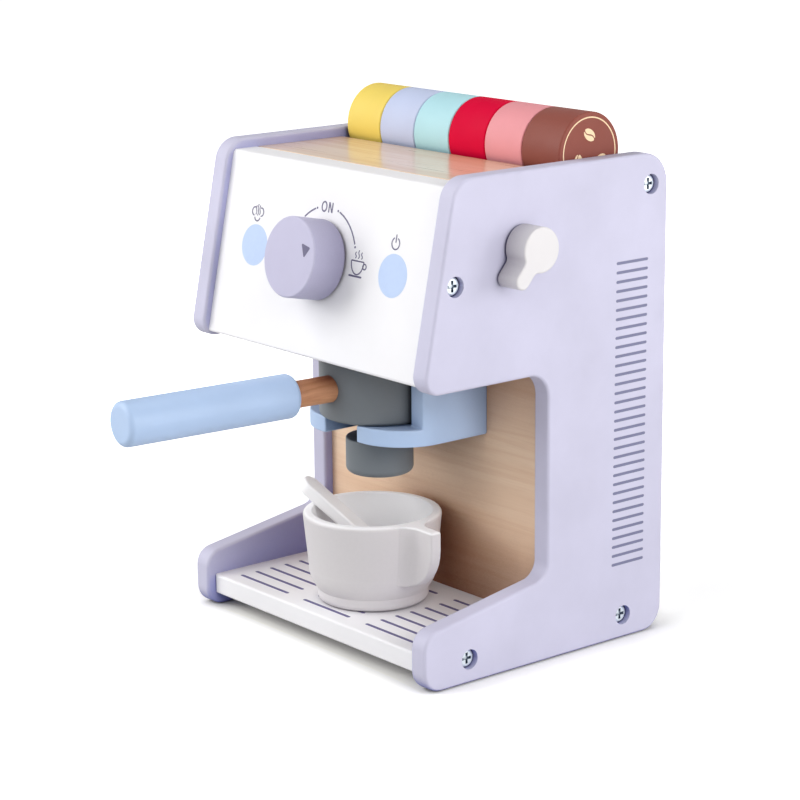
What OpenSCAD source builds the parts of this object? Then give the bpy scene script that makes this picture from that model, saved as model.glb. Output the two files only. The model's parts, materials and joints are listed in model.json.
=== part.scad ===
// Toy coffee maker: a wooden play espresso machine with a pull-out filter holder, a turning knob,
// a steam lever, six loose coffee capsules, a cup and a stirring stick.
// Millimetres. X runs across the machine, Y from the front to the back, Z up.
// The origin lies on the surface it stands on, under the middle of the whole model's box. The modules
// measure from the middle between the side panels and from their front edges, and in_frame() shifts them.

/* [Side panels] */
// Width of the machine over both side panels
body_w = 180; // [170:1:200]
// Depth of a side panel
body_d = 151; // [149:1:165]
// Height of a side panel
body_h = 235; // [230:1:250]
// Thickness of a side panel
panel_t = 10; // [9:0.5:13]
// Height of the underside of the nose, above the cup bay
nose_z = 139; // [136:1:146]
// How far the top front corner lies behind the nose
front_lean = 19.6; // [16:0.2:24]
// Depth of the cup bay cut into the side panel
bay_d = 75.4; // [72:0.2:78]
// Height of the side panel's lower arm at the back of the bay
arm_back_z = 40.5; // [36:0.5:46]
// Height of the lower arm at its front
arm_front_z = 28; // [25:0.5:34]
// Radius of the bottom front corner
bottom_front_r = 10; // [6:0.5:12]
// Radius of the bottom back corner
bottom_back_r = 12; // [6:0.5:18]
// Radius of the top back corner
top_back_r = 15; // [8:0.5:20]
// Radius of the top front corner
top_front_r = 12; // [6:0.5:16]
// Radius of the nose
nose_r = 8; // [4:0.5:11]
// Radius of the upper corner inside the bay
bay_r = 11; // [6:0.5:14]
// Radius of the lower corner inside the bay
arm_back_r = 9; // [5:0.5:12]
// Radius at the front end of the lower arm
arm_front_r = 9; // [5:0.5:12]

/* [Boards between the panels] */
// Gap between the surface it stands on and the base board
base_z = 6.5; // [4:0.5:9]
// Thickness of the base board
base_t = 10; // [8:0.5:13]
// How far the base board's front edge lies behind the side panels
base_inset = 4.5; // [2:0.5:8]
// How far the boards at the back lie in front of the panels' rear edges
back_inset = 1; // [0.5:0.5:3]
// How far the white front panel's face lies behind the front edges
front_inset = 3.8; // [2:0.2:6]
// Thickness of the front panel
front_t = 14.5; // [12:0.5:16]
// Distance from the nose up the slope to the front panel's lower edge
front_foot = 3.7; // [2:0.1:6]
// How far the top boards lie below the side panels' top edges
top_drop = 4.8; // [3:0.2:7]
// Thickness of the top board
top_t = 12.6; // [11:0.2:15]
// Thickness of the inner wall behind the cup bay
wall_t = 8; // [6:0.5:10]
// How far the inner wall lies behind the bay's rear edge
wall_inset = 5; // [3:0.5:6]
// Height of the housing floor's underside above the underside of the nose
floor_rise = 2.5; // [1:0.5:5]
// Thickness of the housing floor
floor_t = 8; // [6:0.5:10]
// Thickness of the back cover
cover_t = 4; // [3:0.5:6]
// How far the back cover lies in front of the panels' rear edges
cover_inset = 3; // [2:0.5:6]

/* [Capsule tray] */
// Diameter of a capsule
capsule_d = 38; // [34:0.5:40]
// Rounding of a capsule's rims
capsule_edge_r = 0.8; // [0.4:0.1:1.5]
// Gap between neighbouring capsules
capsule_gap = 0.25; // [0.2:0.05:1]
// Free length at the tray's left end
tray_slack = 2.6; // [1:0.1:5]
// Gap between the last capsule and the right side panel
capsule_end_gap = 0.7; // [0.5:0.1:2]
// Gap between a capsule and the tray's walls
tray_side_gap = 1; // [0.5:0.1:2]
// Depth of the rear rail behind the tray, from front to back
rail_d = 20; // [16:0.5:24]
// Thickness of the tray floor
tray_t = 8; // [6:0.5:10]
// How far the tray floor reaches under the top board
tray_lap = 14; // [8:0.5:18]
// Height of the rear rail
rail_h = 20; // [16:0.5:24]

/* [Knob] */
// Diameter of the knob
knob_d = 38; // [30:0.5:44]
// Height of the knob
knob_h = 18.3; // [14:0.1:24]
// Distance of the knob's centre up the slope from the nose
knob_rise = 50.2; // [44:0.2:58]
// Rounding of the knob's front rim
knob_edge_r = 0.9; // [0.5:0.1:2]
// Diameter of the knob's axle
knob_axle_d = 10; // [8:0.5:12]
// Depth of the axle's hole in the knob
knob_socket = 12; // [8:0.5:13]
// Thickness of the spacer behind the knob
knob_spacer_t = 0.85; // [0.5:0.05:1.5]
// Diameter of the spacer and of the retaining washer
knob_washer_d = 22; // [16:0.5:28]

/* [Steam lever] */
// Distance of the lever's pivot behind the front edge
lever_y = 58; // [45:0.5:80]
// Distance of the lever's pivot below the panel's top edge
lever_drop = 34.3; // [31:0.1:46]
// Radius of the lever's round head
lever_head_r = 10.5; // [9:0.5:13]
// Distance from the pivot to the end of the lever's tail
lever_l = 21; // [17:0.5:28]
// Width of the tail
lever_tail_w = 8; // [6:0.2:10]
// Radius of the fillets between the head and the tail
lever_neck_r = 3; // [1:0.5:5]
// Thickness of the lever
lever_t = 13.2; // [10:0.2:16]
// Angle of the tail below the horizontal, towards the front
lever_angle = 49; // [0:1:90]
// Diameter of the lever's axle
lever_axle_d = 8; // [6:0.5:9]
// Depth of the axle's hole in the lever
lever_socket = 9; // [6:0.5:9.5]
// Thickness of the spacer behind the lever
lever_spacer_t = 0.75; // [0.5:0.05:1.5]
// Diameter of the spacer and of the retaining washer
lever_washer_d = 16; // [13:0.5:18]

/* [Filter holder bracket] */
// Height of the bracket's underside
lip_z = 100; // [97:0.5:103]
// Thickness of the two lips that carry the filter holder
lip_t = 8.3; // [6:0.1:10]
// How far the lips reach in front of the brewing axis
lip_reach = 23.8; // [20:0.2:28]
// How far the side arms reach in front of the brewing axis
arm_reach = 5.8; // [3:0.2:10]
// Thickness of a side arm beside the pocket
arm_t = 10.35; // [8:0.05:14]
// Thickness of the bracket behind the pocket
pocket_back_t = 2; // [2:0.1:4]
// Radius of the bracket's front corners
bracket_r = 26; // [16:0.5:28]
// Gap around the filter head in its pocket
pocket_gap = 1.95; // [0.8:0.05:3]
// Gap on either side of the neck in the slot between the lips
slot_gap = 2; // [0.8:0.1:3]

/* [Filter holder] */
// Diameter of the filter head
head_d = 57.8; // [50:0.2:62]
// Gap between the filter head and the front panel's lower edge, under which it slides out
head_top_gap = 0.8; // [0.4:0.1:3]
// Height of the handle's axis above the head's underside
handle_rise = 15.8; // [12:0.2:18]
// Rounding of the filter head's rims
head_edge_r = 1.8; // [1:0.1:3]
// Diameter of the neck between the head and the spout
neck_d = 20; // [14:0.5:22]
// Depth of the neck's hole in the head and in the spout
neck_socket = 8; // [5:0.5:8]
// Diameter of the spout disc
spout_d = 32.8; // [26:0.2:40]
// Height of the spout disc
spout_h = 17.5; // [14:0.5:20]
// Gap between the spout disc and the lips
spout_gap = 3; // [1.5:0.1:5]
// Rounding of the spout disc's lower rim
spout_edge_r = 3; // [1:0.5:5]
// Diameter of the handle's dowel
dowel_d = 13; // [10:0.5:15]
// Depth of the dowel's holes in the head and in the grip
dowel_socket = 15; // [10:0.5:17]
// Diameter of the grip
grip_d = 21.4; // [18:0.2:26]
// Length of the grip
grip_l = 92; // [70:1:110]
// Distance from the brewing axis to the grip
grip_start = 50.5; // [44:0.5:60]
// Rounding of the grip's ends
grip_edge_r = 2.8; // [1:0.1:6]
// Angle of the handle from straight ahead, towards the left
handle_turn = 3.9; // [0:0.1:20]

/* [Cup] */
// Distance of the cup's centre in front of the brewing axis
cup_forward = 5; // [0:0.5:8]
// Height of the cup
cup_h = 44.2; // [38:0.2:50]
// Outer diameter of the rim
cup_rim_d = 67.6; // [60:0.2:72]
// Thickness of the wall at the rim
cup_wall = 4.6; // [4:0.1:6]
// Thickness of the cup's bottom
cup_floor = 5; // [4:0.5:8]
// Diameter of the body at the top of its lower curve
cup_belly_d = 62.6; // [60:0.2:64]
// Height of the top of the lower curve
cup_belly_z = 17; // [14:0.5:22]
// Radius of the lower curve
cup_belly_r = 17; // [14:0.5:18]
// Radius of the hollow's lower curve
cup_hollow_r = 10; // [8:0.5:12]
// Rounding of the foot
cup_foot_r = 3; // [1:0.5:4]
// Diameter of the foot
cup_foot_d = 54.6; // [50:0.2:56]
// Distance from the cup's axis to the handle's outer edge
cup_handle_r = 51.5; // [47:0.5:56]
// Thickness of the cup's handle at its end
cup_handle_t = 5.8; // [5:0.2:9]
// Radius of the fillets between the handle and the cup
cup_handle_fillet = 11; // [8:0.5:13]
// Distance of the handle's top below the rim
cup_handle_drop = 0.1; // [0.1:0.1:2]
// Radius of the curve below the handle's outer edge
cup_handle_curve_r = 21.5; // [18:0.5:24]
// Height of that curve's centre
cup_handle_curve_z = 35; // [32:0.5:38]
// Angle of the cup's handle from straight right, towards the front
cup_handle_turn = 3; // [0:1:60]

/* [Stirring stick] */
// Length of the stirring stick
stick_l = 74; // [72:0.5:90]
// Width of the stick
stick_w = 12.5; // [8:0.5:13]
// Thickness of the stick
stick_t = 6; // [3:0.1:7]
// Distance at which the stick's centre line passes the cup's axis
stick_offset = 3.8; // [3:0.1:8]
// Direction in which the stick runs down into the cup
stick_turn = 36; // [20:1:50]
// Slope of the stick
stick_slope = 39.8; // [39:0.1:42]
// Gap between the stick's lower end and the cup's bottom
stick_tip_gap = 0.9; // [0.6:0.1:3]

/* [Fasteners] */
// Diameter of a screw's head
screw_head_d = 8.8; // [7:0.1:9]
// Height of a screw's head
screw_head_h = 2.4; // [2:0.1:3]
// Diameter of a screw's shank
screw_d = 3.6; // [3:0.1:4.5]
// Length of a panel screw under its head
screw_l = 30; // [22:1:36]
// Diameter of the counterbores in the side panels
counterbore_d = 9.6; // [9.4:0.1:12]
// Depth of the counterbores
counterbore_depth = 4.7; // [3:0.1:6]
// Distance of the screw that holds the front panel below the panel's top edge
front_screw_drop = 48; // [36:1:60]
// How far that screw lies behind the front panel's face
front_screw_in = 5.4; // [5:0.1:9]
// Distances of the two base screws from the front
base_screw_y = [27, 125];
// Diameter of a glued dowel between a board and a panel
peg_d = 6; // [5:0.5:7]
// Length of such a dowel
peg_l = 22; // [18:1:30]
// Distance of such a dowel from the end of its board's edge
peg_edge = 16; // [10:1:20]
// Depth of a dowel in the side panel
peg_depth = 6.6; // [5:0.2:8]
// Diameter of the bracket's and the axles' screws
small_screw_d = 3; // [2.5:0.1:3.5]
// Length of an axle's screw
axle_screw_l = 11; // [8:0.5:14]
// Length of a bracket screw
bracket_screw_l = 24; // [18:1:30]

/* [Hidden] */
$fn = 96;
// clearances
glue_gap = 0.05;
run_gap = 0.08;
rest_gap = 0.2;
hole_gap = 0.3;
end_gap = 0.5;
cut = 1;

// a pan head screw's parts, as shares of its head: the cross recess and the rounding of its rim
recess_w_share = 0.16;
recess_l_share = 0.6;
head_round_share = 0.6;
// thickness of the steel washers
washer_t = 2;

half_w = body_w / 2;
inner_x = half_w - panel_t;

// slope of the front: its face starts at the nose and leans back
lean = atan(front_lean / (body_h - nose_z));
face_y = front_inset * cos(lean);
face_z = nose_z - front_inset * sin(lean);
foot_y = face_y + front_foot * sin(lean);
foot_z = face_z + front_foot * cos(lean);
front_low_z = foot_z - front_t * sin(lean);
board_top = body_h - top_drop;
base_top = base_z + base_t;

wall_y = bay_d + wall_inset;
wall_back = wall_y + wall_t;
floor_z = nose_z + floor_rise;
back_y = body_d - back_inset;

tray_w = capsule_d + 2 * tray_side_gap;
tray_back = back_y - rail_d;
tray_y = tray_back - tray_w;
tray_top = board_top - top_t;
capsule_y = tray_y + tray_w / 2;
capsule_z = tray_top + capsule_d / 2 + rest_gap;
// the capsules' colours from left to right
CAPSULE_COLOURS = ["gold", "#c7cce8", "#b0e0e6", "crimson", "#f4a0a8", "saddlebrown"];
capsule_count = len(CAPSULE_COLOURS);
capsule_row = 2 * inner_x - capsule_end_gap - tray_slack;
capsule_l = (capsule_row - (capsule_count - 1) * capsule_gap) / capsule_count;

pocket_r = head_d / 2 + pocket_gap;
brew_y = wall_y - pocket_back_t - pocket_r;
bracket_x = pocket_r + arm_t;
slot_x = neck_d / 2 + slot_gap;
lip_top = lip_z + lip_t;
head_z = lip_top + rest_gap;
head_h = front_low_z - head_top_gap - head_z;
handle_z = head_z + handle_rise;
spout_top = lip_z - spout_gap;
spout_z = spout_top - spout_h;

cup_y = brew_y - cup_forward;
cup_z = base_top + rest_gap;
// the roundings of the rim's inner and outer edges
rim_in_r = cup_wall * 0.18;
rim_out_r = cup_wall * 0.42;
// how far down the cup's lower curve and the curve under its handle run, in degrees
belly_sweep = acos(1 - (cup_belly_d - cup_foot_d) / 2 / cup_belly_r);
handle_sweep = 80;
// how far the handle's fillets run into the cup's wall
fillet_bite = 0.25;

knob_axle_end = -front_t - rest_gap;
lever_axle_end = -panel_t - rest_gap;
small_head_d = 2 * small_screw_d;
small_head_h = 0.6 * small_screw_d;

seat = counterbore_depth;
lever_z = body_h - lever_drop;
front_screw_z = body_h - front_screw_drop;
base_screw_z = base_z + base_t / 2;
rail_screw_y = (tray_back + back_y) / 2;
rail_screw_z = board_top - rail_h / 2;

// the origin under the middle of the whole model's box, which the lever and the grip reach out of
lever_out = lever_spacer_t + rest_gap + lever_t;
grip_front = (grip_start + grip_l - grip_edge_r) * cos(handle_turn)
    + (grip_d / 2 - grip_edge_r) * sin(handle_turn) + grip_edge_r;
model_origin = [lever_out / 2, (body_d + brew_y - grip_front) / 2, 0];

// where the panel screws go, as [y, z]
SCREWS = [
    [front_y(front_screw_z) + front_screw_in, front_screw_z],
    [rail_screw_y, rail_screw_z],
    [base_screw_y[0], base_screw_z],
    [base_screw_y[1], base_screw_z],
];
// where the glued dowels go, as [y, z]
PEGS = [
    [front_mid_y(foot_z + peg_edge), foot_z + peg_edge],
    [front_mid_y(board_top - peg_edge), board_top - peg_edge],
    [front_back_y(floor_z) + peg_edge, floor_z + floor_t / 2],
    [wall_back - peg_edge, floor_z + floor_t / 2],
    [wall_y + wall_t / 2, base_top + peg_edge],
    [wall_y + wall_t / 2, floor_z - peg_edge],
    [front_back_y(tray_top) + peg_edge, board_top - top_t / 2],
    [tray_y - peg_edge, board_top - top_t / 2],
    [tray_y - tray_lap + peg_edge, tray_top - tray_t / 2],
    [tray_back - peg_edge, tray_top - tray_t / 2],
];

// ---- geometry helpers ----

// shifts a piece so that the origin lies under the middle of the whole model
module in_frame() {
    translate(-model_origin) children();
}

function unit(v) = v / norm(v);

// the points of an arc, in degrees
function arc(centre, r, a0, a1, n = 10) =
    [for (i = [0:n]) centre + r * [cos(a0 + (a1 - a0) * i / n), sin(a0 + (a1 - a0) * i / n)]];

// the arc that rounds the corner b between a and c
function corner(a, b, c, r) =
    let (u = unit(a - b), v = unit(c - b), half = acos(u * v) / 2,
         centre = b + unit(u + v) * r / sin(half),
         s = b + u * r / tan(half) - centre, e = b + v * r / tan(half) - centre,
         a0 = atan2(s.y, s.x), sweep = (atan2(e.y, e.x) - a0 + 540) % 360 - 180)
    arc(centre, r, a0, a0 + sweep);

// an outline with rounded corners
function rounded(p, radii) =
    let (n = len(p))
    [for (i = [0:n - 1]) each corner(p[(i + n - 1) % n], p[i], p[(i + 1) % n], radii[i])];

// how far behind the front edges the front panel's face lies at height z
function front_y(z) = face_y + (z - face_z) * tan(lean);
function front_mid_y(z) = front_y(z) + front_t / cos(lean) / 2;
function front_back_y(z) = front_y(z) + front_t / cos(lean);

// a YZ outline extruded along X
module along_x(x0, x1) {
    translate([x0, 0, 0]) rotate([90, 0, 90]) linear_extrude(x1 - x0) children();
}

// a board that spans the space between the side panels
module board(y0, y1, z0, z1) {
    translate([-inner_x, y0, z0]) cube([2 * inner_x, y1 - y0, z1 - z0]);
}

// places children with Z pointing out of the front panel's face and Y up its slope
module on_front(rise = 0) {
    translate([0, face_y, face_z]) rotate([90 - lean, 0, 0]) translate([0, rise, 0]) children();
}

// places children with Z pointing outwards from the right panel at the lever's pivot
module on_lever() {
    translate([half_w, lever_y, lever_z]) rotate([90, 0, 90]) children();
}

// places children with Z pointing outwards from a side panel at a point [y, z]
module on_side(side, spot) {
    translate([side * half_w, spot.x, spot.y]) rotate([0, side * 90, 0]) children();
}

module at_brew() {
    translate([0, brew_y, 0]) rotate([0, 0, -handle_turn]) children();
}

// Z points out along the handle, away from the brewing axis
module along_handle() {
    at_brew() translate([0, 0, handle_z]) rotate([90, 0, 0]) children();
}

// a round body with rounded rims, standing on Z = 0
module puck(d, h, r_low, r_high) {
    rotate_extrude() polygon(concat(
        [[0, 0]],
        arc([d / 2 - r_low, r_low], r_low, -90, 0, 6),
        arc([d / 2 - r_high, h - r_high], r_high, 0, 90, 6),
        [[0, h]]));
}

module ring(d, hole_d, h) {
    difference() {
        cylinder(d = d, h = h);
        translate([0, 0, -cut]) cylinder(d = hole_d, h = h + 2 * cut);
    }
}

// a pan head screw: its seat lies on Z = 0 and the shank points down
module pan_screw(d, l, head_d, head_h) {
    slot_w = head_d * recess_w_share;
    slot_l = head_d * recess_l_share;
    edge_r = head_h * head_round_share;
    difference() {
        union() {
            rotate_extrude() polygon(concat(
                [[0, 0], [head_d / 2, 0]],
                arc([head_d / 2 - edge_r, head_h - edge_r], edge_r, 0, 90, 6),
                [[0, head_h]]));
            translate([0, 0, -l + d]) cylinder(d = d, h = l - d + cut / 4);
            translate([0, 0, -l]) cylinder(d1 = d * 0.2, d2 = d, h = d);
        }
        for (a = [0, 90])
            translate([0, 0, head_h]) rotate([0, 0, a]) cube([slot_l, slot_w, head_h], center = true);
    }
}

// ---- side panels and what joins them to the boards ----

module side_outline() {
    polygon(rounded(
        [[0, 0], [body_d, 0], [body_d, body_h], [front_lean, body_h],
         [0, nose_z], [bay_d, nose_z], [bay_d, arm_back_z], [0, arm_front_z]],
        [bottom_front_r, bottom_back_r, top_back_r, top_front_r,
         nose_r, bay_r, arm_back_r, arm_front_r]));
}

module side_panel(side) {
    color("#dad6ec") difference() {
        along_x(side > 0 ? inner_x : -half_w, side > 0 ? half_w : -inner_x) side_outline();
        for (s = SCREWS) on_side(side, s) {
            translate([0, 0, -seat]) cylinder(d = counterbore_d, h = seat + cut);
            translate([0, 0, -panel_t - cut]) cylinder(d = screw_d + 2 * hole_gap, h = panel_t + cut);
        }
        peg_holes(side);
        if (side > 0)
            on_lever() translate([0, 0, -panel_t - cut])
                cylinder(d = lever_axle_d + 2 * run_gap, h = panel_t + 2 * cut);
    }
}

module side_panel_left() side_panel(-1);
module side_panel_right() side_panel(1);

// blind holes for the glued dowels, in the panel and in the boards
module peg_holes(side) {
    for (p = PEGS)
        on_side(side, p) translate([0, 0, -panel_t - peg_l + peg_depth - end_gap])
            cylinder(d = peg_d + 2 * glue_gap, h = peg_l + 2 * end_gap);
}

// pilot holes for the panel screws in the boards
module screw_holes() {
    for (side = [-1, 1], s = SCREWS)
        on_side(side, s) translate([0, 0, -seat - screw_l - end_gap])
            cylinder(d = screw_d + 2 * glue_gap, h = screw_l);
}

// a board with the holes for its dowels and screws
module joined() {
    difference() {
        children();
        peg_holes(-1);
        peg_holes(1);
        screw_holes();
    }
}

module board_dowels(side) {
    color("tan") for (p = PEGS)
        on_side(side, p) translate([0, 0, -panel_t - peg_l + peg_depth]) cylinder(d = peg_d, h = peg_l);
}

module board_dowels_left() board_dowels(-1);
module board_dowels_right() board_dowels(1);

module panel_screws(side) {
    color("silver") for (s = SCREWS)
        on_side(side, s) translate([0, 0, -seat])
            pan_screw(screw_d, screw_l, screw_head_d, screw_head_h);
}

module panel_screws_left() panel_screws(-1);
module panel_screws_right() panel_screws(1);

// ---- boards ----

module front_panel() {
    color("white") difference() {
        joined() along_x(-inner_x, inner_x) polygon([
            [foot_y, foot_z], [front_y(board_top), board_top],
            [front_back_y(board_top), board_top],
            [foot_y + front_t * cos(lean), front_low_z]]);
        on_front(knob_rise) translate([0, 0, -front_t - cut])
            cylinder(d = knob_axle_d + 2 * run_gap, h = front_t + 2 * cut);
    }
}

module base_board() {
    color("whitesmoke") joined() board(base_inset, back_y, base_z, base_top);
}

module inner_wall() {
    color("burlywood") difference() {
        joined() board(wall_y, wall_back, base_top, floor_z);
        for (x = [-1, 1]) bracket_screw_axis(x) translate([0, 0, -wall_t - cut])
            cylinder(d = small_screw_d + 2 * hole_gap, h = wall_t + 2 * cut);
    }
}

// a board whose front edge follows the back of the front panel
module raked_board(y1, z0, z1) {
    along_x(-inner_x, inner_x) polygon([[front_back_y(z0), z0], [y1, z0], [y1, z1], [front_back_y(z1), z1]]);
}

module housing_floor() {
    color("burlywood") joined() raked_board(wall_back, floor_z, floor_z + floor_t);
}

module top_board() {
    color("burlywood") joined() raked_board(tray_y, tray_top, board_top);
}

module capsule_tray_floor() {
    color("burlywood") joined() board(tray_y - tray_lap, tray_back, tray_top - tray_t, tray_top);
}

module rear_rail() {
    color("burlywood") joined() board(tray_back, back_y, board_top - rail_h, board_top);
}

module back_cover() {
    color("whitesmoke")
        board(body_d - cover_inset - cover_t, body_d - cover_inset, base_top, board_top - rail_h);
}

// ---- bracket that carries the filter holder ----

// Z points to the back, out of the inner wall, at a bracket screw's seat
module bracket_screw_axis(side) {
    translate([side * (bracket_x - arm_t / 2), wall_back, (lip_top + floor_z) / 2])
        rotate([-90, 0, 0]) children();
}

module filter_bracket() {
    front = brew_y - lip_reach;
    color("lightsteelblue") difference() {
        translate([0, 0, lip_z]) linear_extrude(floor_z - lip_z) difference() {
            translate([-bracket_x, front]) square([2 * bracket_x, wall_y - front]);
            for (x = [-1, 1]) bracket_corner(x, front);
        }
        // pocket for the head, open to the front above the lips
        translate([0, brew_y, lip_top]) cylinder(r = pocket_r, h = floor_z);
        translate([-pocket_r, 0, lip_top]) cube([2 * pocket_r, brew_y, floor_z]);
        translate([-body_w, 0, lip_top]) cube([2 * body_w, brew_y - arm_reach, floor_z]);
        // slot for the neck between the lips
        translate([0, brew_y, lip_z - cut]) cylinder(r = slot_x, h = lip_t + 2 * cut);
        translate([-slot_x, 0, lip_z - cut]) cube([2 * slot_x, brew_y, lip_t + 2 * cut]);
        for (x = [-1, 1]) bracket_screw_axis(x) translate([0, 0, -bracket_screw_l - end_gap])
            cylinder(d = small_screw_d + 2 * glue_gap, h = bracket_screw_l);
    }
}

// what the round front corner leaves away
module bracket_corner(side, front) {
    difference() {
        translate([side > 0 ? bracket_x - bracket_r : -bracket_x - cut, front - cut])
            square([bracket_r + cut, bracket_r + cut]);
        translate([side * (bracket_x - bracket_r), front + bracket_r]) circle(r = bracket_r);
    }
}

module bracket_screws() {
    color("silver") for (x = [-1, 1])
        bracket_screw_axis(x) pan_screw(small_screw_d, bracket_screw_l, small_head_d, small_head_h);
}

// ---- knob ----

module control_knob() {
    color("#b4b0d6") on_front(knob_rise) difference() {
        translate([0, 0, knob_spacer_t + rest_gap])
            puck(knob_d, knob_h, knob_edge_r, knob_edge_r);
        cylinder(d = knob_axle_d + 2 * glue_gap, h = knob_spacer_t + rest_gap + knob_socket);
    }
}

module knob_axle() {
    color("tan") on_front(knob_rise) axle(knob_axle_d, knob_axle_end, knob_spacer_t + knob_socket);
}

// an axle from z0 to z1 with a pilot hole for its screw in the inner end
module axle(d, z0, z1) {
    difference() {
        translate([0, 0, z0]) cylinder(d = d, h = z1 - z0);
        translate([0, 0, z0 - cut])
            cylinder(d = small_screw_d + 2 * glue_gap, h = axle_screw_l + cut);
    }
}

module knob_spacer() {
    color("dimgray") on_front(knob_rise) translate([0, 0, rest_gap / 2])
        ring(knob_washer_d, knob_axle_d + 2 * glue_gap, knob_spacer_t);
}

module knob_retaining_washer() {
    color("silver") on_front(knob_rise) translate([0, 0, knob_axle_end - washer_t])
        ring(knob_washer_d, small_screw_d + 2 * glue_gap, washer_t);
}

module knob_screw() {
    color("silver") on_front(knob_rise) translate([0, 0, knob_axle_end - washer_t])
        mirror([0, 0, 1]) pan_screw(small_screw_d, axle_screw_l, small_head_d, small_head_h);
}

// ---- steam lever ----

// a round head and a straight tail with a round end, joined by fillets
module lever_outline() {
    tip_r = lever_tail_w / 2;
    neck_y = tip_r + lever_neck_r;
    neck_x = sqrt(pow(lever_head_r + lever_neck_r, 2) - neck_y * neck_y);
    a = atan2(neck_y, neck_x);
    rotate(180 + lever_angle) polygon(concat(
        arc([0, 0], lever_head_r, a, 360 - a, 48),
        arc([neck_x, -neck_y], lever_neck_r, 180 - a, 90, 8),
        arc([lever_l - tip_r, 0], tip_r, -90, 90, 16),
        arc([neck_x, neck_y], lever_neck_r, -90, a - 180, 8)));
}

module steam_lever() {
    base = lever_spacer_t + rest_gap;
    color("white") on_lever() difference() {
        translate([0, 0, base]) linear_extrude(lever_t) lever_outline();
        cylinder(d = lever_axle_d + 2 * glue_gap, h = base + lever_socket);
    }
}

module lever_axle() {
    color("tan") on_lever() axle(lever_axle_d, lever_axle_end, lever_spacer_t + lever_socket);
}

module lever_spacer() {
    color("dimgray") on_lever() translate([0, 0, rest_gap / 2])
        ring(lever_washer_d, lever_axle_d + 2 * glue_gap, lever_spacer_t);
}

module lever_retaining_washer() {
    color("silver") on_lever() translate([0, 0, lever_axle_end - washer_t])
        ring(lever_washer_d, small_screw_d + 2 * glue_gap, washer_t);
}

module lever_screw() {
    color("silver") on_lever() translate([0, 0, lever_axle_end - washer_t])
        mirror([0, 0, 1]) pan_screw(small_screw_d, axle_screw_l, small_head_d, small_head_h);
}

// ---- filter holder ----

module filter_head() {
    color("#6a7176") difference() {
        at_brew() translate([0, 0, head_z]) puck(head_d, head_h, head_edge_r, head_edge_r);
        at_brew() translate([0, 0, head_z - cut])
            cylinder(d = neck_d + 2 * run_gap, h = neck_socket + cut);
        along_handle() translate([0, 0, head_d / 2 - dowel_socket])
            cylinder(d = dowel_d + 2 * glue_gap, h = dowel_socket + cut);
    }
}

module filter_neck() {
    z0 = spout_top - neck_socket + end_gap;
    z1 = head_z + neck_socket - end_gap;
    color("#5e656a") at_brew() translate([0, 0, z0]) cylinder(d = neck_d, h = z1 - z0);
}

module filter_spout() {
    color("#6a7176") at_brew() difference() {
        translate([0, 0, spout_z]) puck(spout_d, spout_h, spout_edge_r, head_edge_r / 2);
        translate([0, 0, spout_top - neck_socket])
            cylinder(d = neck_d + 2 * glue_gap, h = neck_socket + cut);
    }
}

module handle_dowel() {
    z0 = head_d / 2 - dowel_socket + end_gap;
    z1 = grip_start + dowel_socket - end_gap;
    color("peru") along_handle() translate([0, 0, z0]) cylinder(d = dowel_d, h = z1 - z0);
}

module handle_grip() {
    color("#aec4e8") along_handle() difference() {
        translate([0, 0, grip_start]) puck(grip_d, grip_l, grip_edge_r, grip_edge_r);
        translate([0, 0, grip_start - cut])
            cylinder(d = dowel_d + 2 * glue_gap, h = dowel_socket + cut);
    }
}

// ---- capsules ----

module capsule(i) {
    right = inner_x - capsule_end_gap - (capsule_count - 1 - i) * (capsule_l + capsule_gap);
    color(CAPSULE_COLOURS[i]) translate([right - capsule_l, capsule_y, capsule_z])
        rotate([0, 90, 0]) puck(capsule_d, capsule_l, capsule_edge_r, capsule_edge_r);
}

module capsule_1() capsule(0);
module capsule_2() capsule(1);
module capsule_3() capsule(2);
module capsule_4() capsule(3);
module capsule_5() capsule(4);
module capsule_6() capsule(5);

// ---- cup and stirring stick ----

module at_cup() {
    translate([0, cup_y, cup_z]) children();
}

// outside of the cup from the foot to the rim, as [radius, height]
function cup_outside(gap = 0) = concat(
    [[0, -gap]],
    arc([cup_foot_d / 2 - cup_foot_r, cup_foot_r], cup_foot_r + gap, -90, 0, 6),
    arc([cup_belly_d / 2 - cup_belly_r, cup_belly_z], cup_belly_r + gap, -belly_sweep, 0, 8),
    arc([cup_rim_d / 2 - rim_out_r, cup_h - rim_out_r], rim_out_r + gap, 0, 90, 6));

module cup() {
    hollow_r = cup_rim_d / 2 - cup_wall;
    hollow_low_r = cup_belly_d / 2 - cup_wall;
    color("white") at_cup() rotate_extrude() polygon(concat(
        cup_outside(),
        arc([hollow_r + rim_in_r, cup_h - rim_in_r], rim_in_r, 90, 180, 6),
        arc([hollow_low_r - cup_hollow_r, cup_floor + cup_hollow_r], cup_hollow_r, 0, -90, 8),
        [[0, cup_floor]]));
}

// how far from the cup's middle plane a fillet's axis stands where the cup's radius is r
function fillet_x(r, y) = sqrt(pow(r + cup_handle_fillet - fillet_bite, 2) - y * y);

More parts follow.
